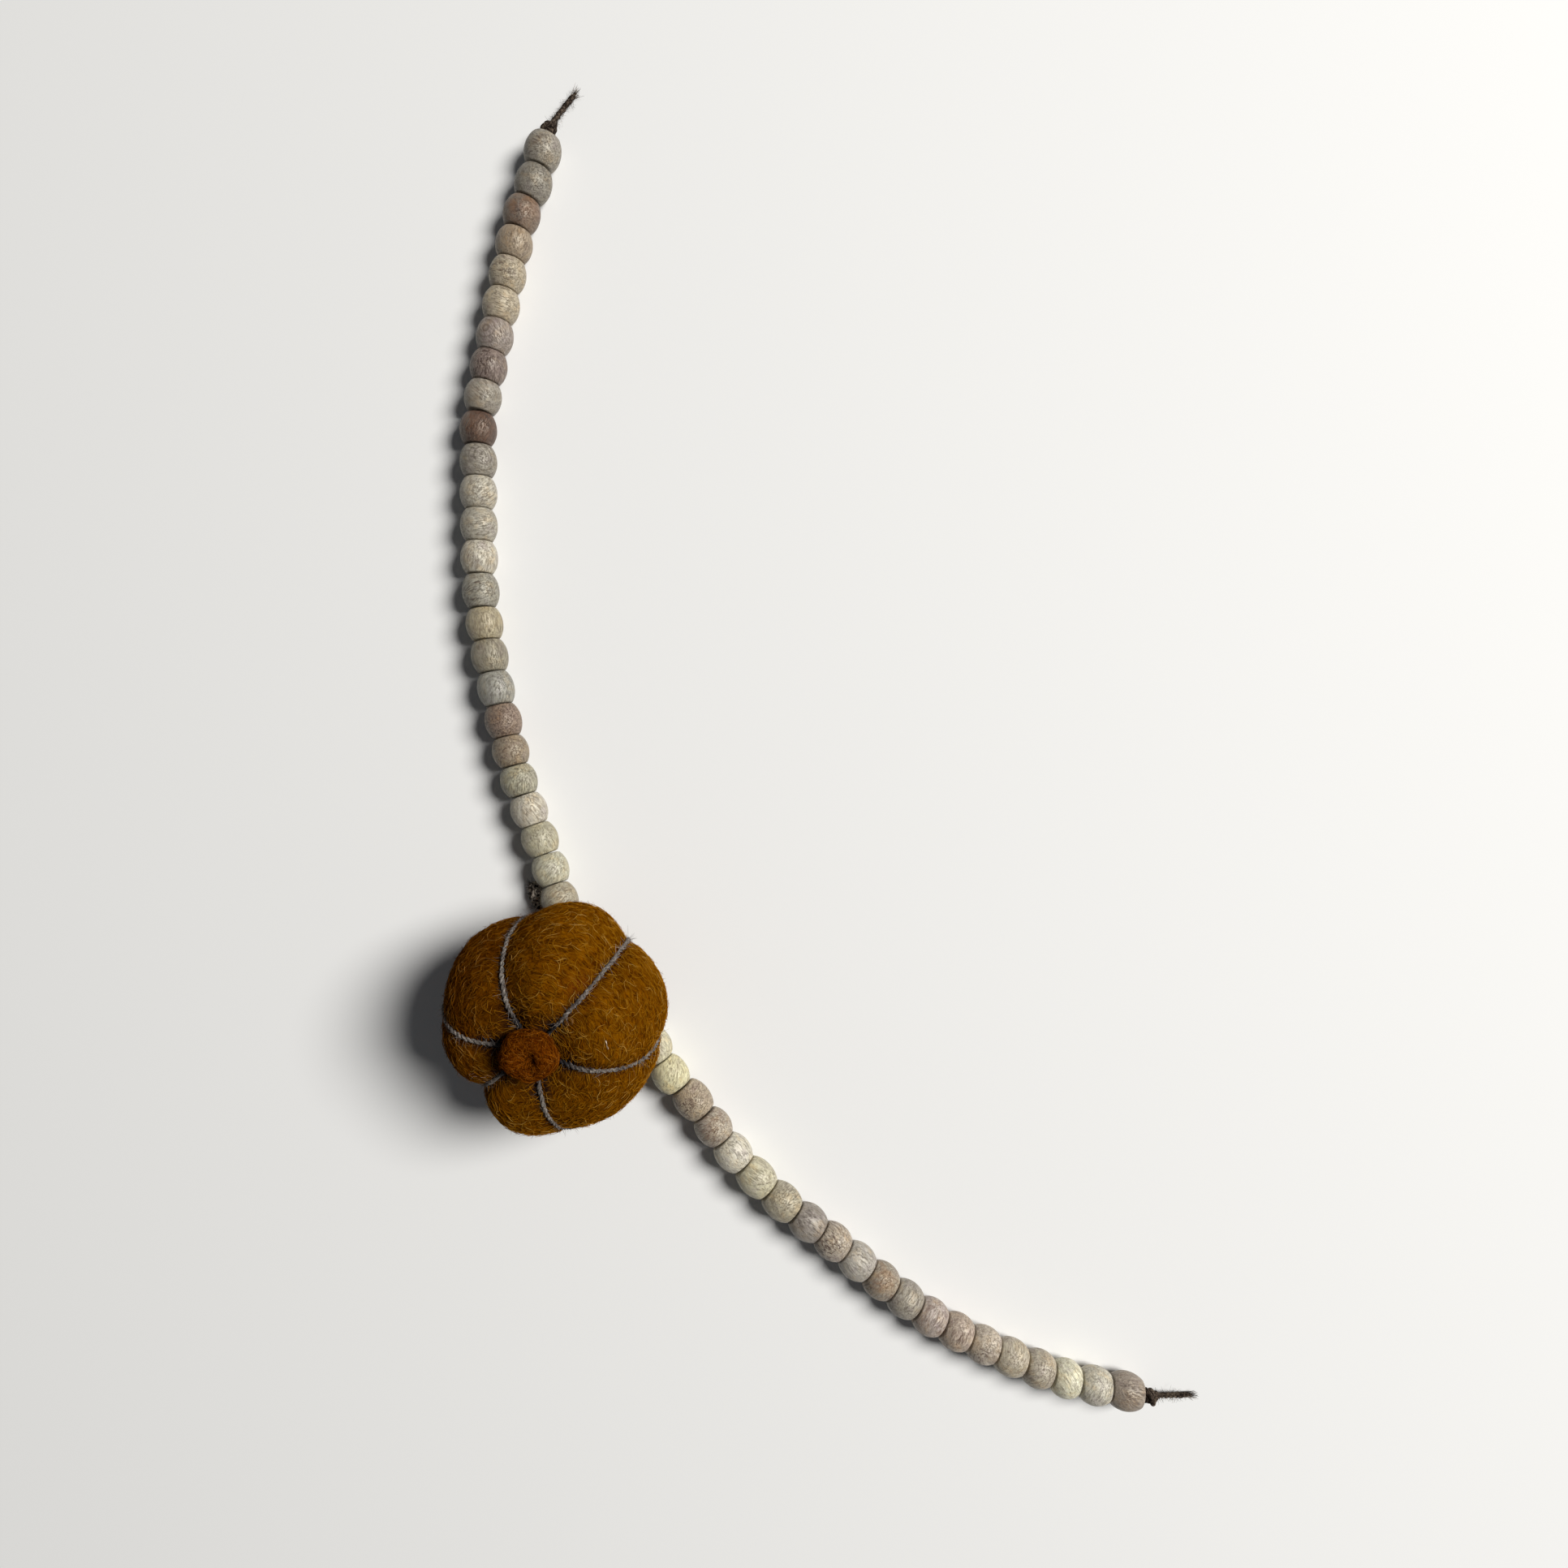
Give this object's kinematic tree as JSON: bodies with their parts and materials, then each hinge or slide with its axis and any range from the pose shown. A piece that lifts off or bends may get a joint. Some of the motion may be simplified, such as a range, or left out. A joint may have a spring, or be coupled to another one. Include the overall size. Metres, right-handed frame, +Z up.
{
  "type": "felt pumpkin garland",
  "caption": "Stretch of garland laid flat: whitewashed wooden barrel beads on twine with a felted wool pumpkin bound in yarn.",
  "frame": {"origin": "middle of the small flat spot on which the pumpkin rests on the surface", "axes": "+Z up from the surface; +Y along the longer spread of the garland, towards the end of the upper strand; +X towards the end of the lower strand"},
  "size_m": [0.2309, 0.4169, 0.0549],
  "materials": {
    "wood_cream": "whitewashed, matte satin",
    "wood_ivory": "whitewashed, matte satin",
    "wood_beige": "whitewashed, matte satin",
    "wood_grey": "whitewashed, matte satin",
    "wood_greige": "whitewashed, matte satin",
    "wood_taupe": "whitewashed, matte satin",
    "wood_rose": "whitewashed, matte satin",
    "wood_umber": "whitewashed, matte satin",
    "felt": "needle-felted wool, fuzzy",
    "yarn": "twisted wool yarn, fuzzy",
    "twine": "twisted twine, matte"
  },
  "bodies": {
    "root": {"bead_upper_01": "wood_beige", "bead_upper_02": "wood_ivory", "bead_upper_03": "wood_ivory", "bead_upper_04": "wood_cream", "bead_upper_05": "wood_grey", "bead_upper_06": "wood_taupe", "bead_upper_07": "wood_taupe", "bead_upper_08": "wood_grey", "bead_upper_09": "wood_greige", "bead_upper_10": "wood_cream", "bead_upper_11": "wood_grey", "bead_upper_12": "wood_cream", "bead_upper_13": "wood_cream", "bead_upper_14": "wood_cream", "bead_upper_15": "wood_greige", "bead_upper_16": "wood_umber", "bead_upper_17": "wood_greige", "bead_upper_18": "wood_taupe", "bead_upper_19": "wood_greige", "bead_upper_20": "wood_cream", "bead_upper_21": "wood_cream", "bead_upper_22": "wood_beige", "bead_upper_23": "wood_rose", "bead_upper_24": "wood_greige", "bead_upper_25": "wood_greige", "bead_lower_01": "wood_ivory", "bead_lower_02": "wood_ivory", "bead_lower_03": "wood_taupe", "bead_lower_04": "wood_rose", "bead_lower_05": "wood_grey", "bead_lower_06": "wood_ivory", "bead_lower_07": "wood_greige", "bead_lower_08": "wood_grey", "bead_lower_09": "wood_beige", "bead_lower_10": "wood_greige", "bead_lower_11": "wood_rose", "bead_lower_12": "wood_greige", "bead_lower_13": "wood_rose", "bead_lower_14": "wood_taupe", "bead_lower_15": "wood_beige", "bead_lower_16": "wood_cream", "bead_lower_17": "wood_taupe", "bead_lower_18": "wood_ivory", "bead_lower_19": "wood_grey", "bead_lower_20": "wood_taupe", "pumpkin": "felt", "stem": "felt", "yarn_wrap_1": "yarn", "yarn_wrap_2": "yarn", "yarn_wrap_3": "yarn", "yarn_wrap_4": "yarn", "yarn_wrap_5": "yarn", "yarn_wrap_6": "yarn", "twine": "twine", "tie_knot": "twine"}
  },
  "joints": []
}
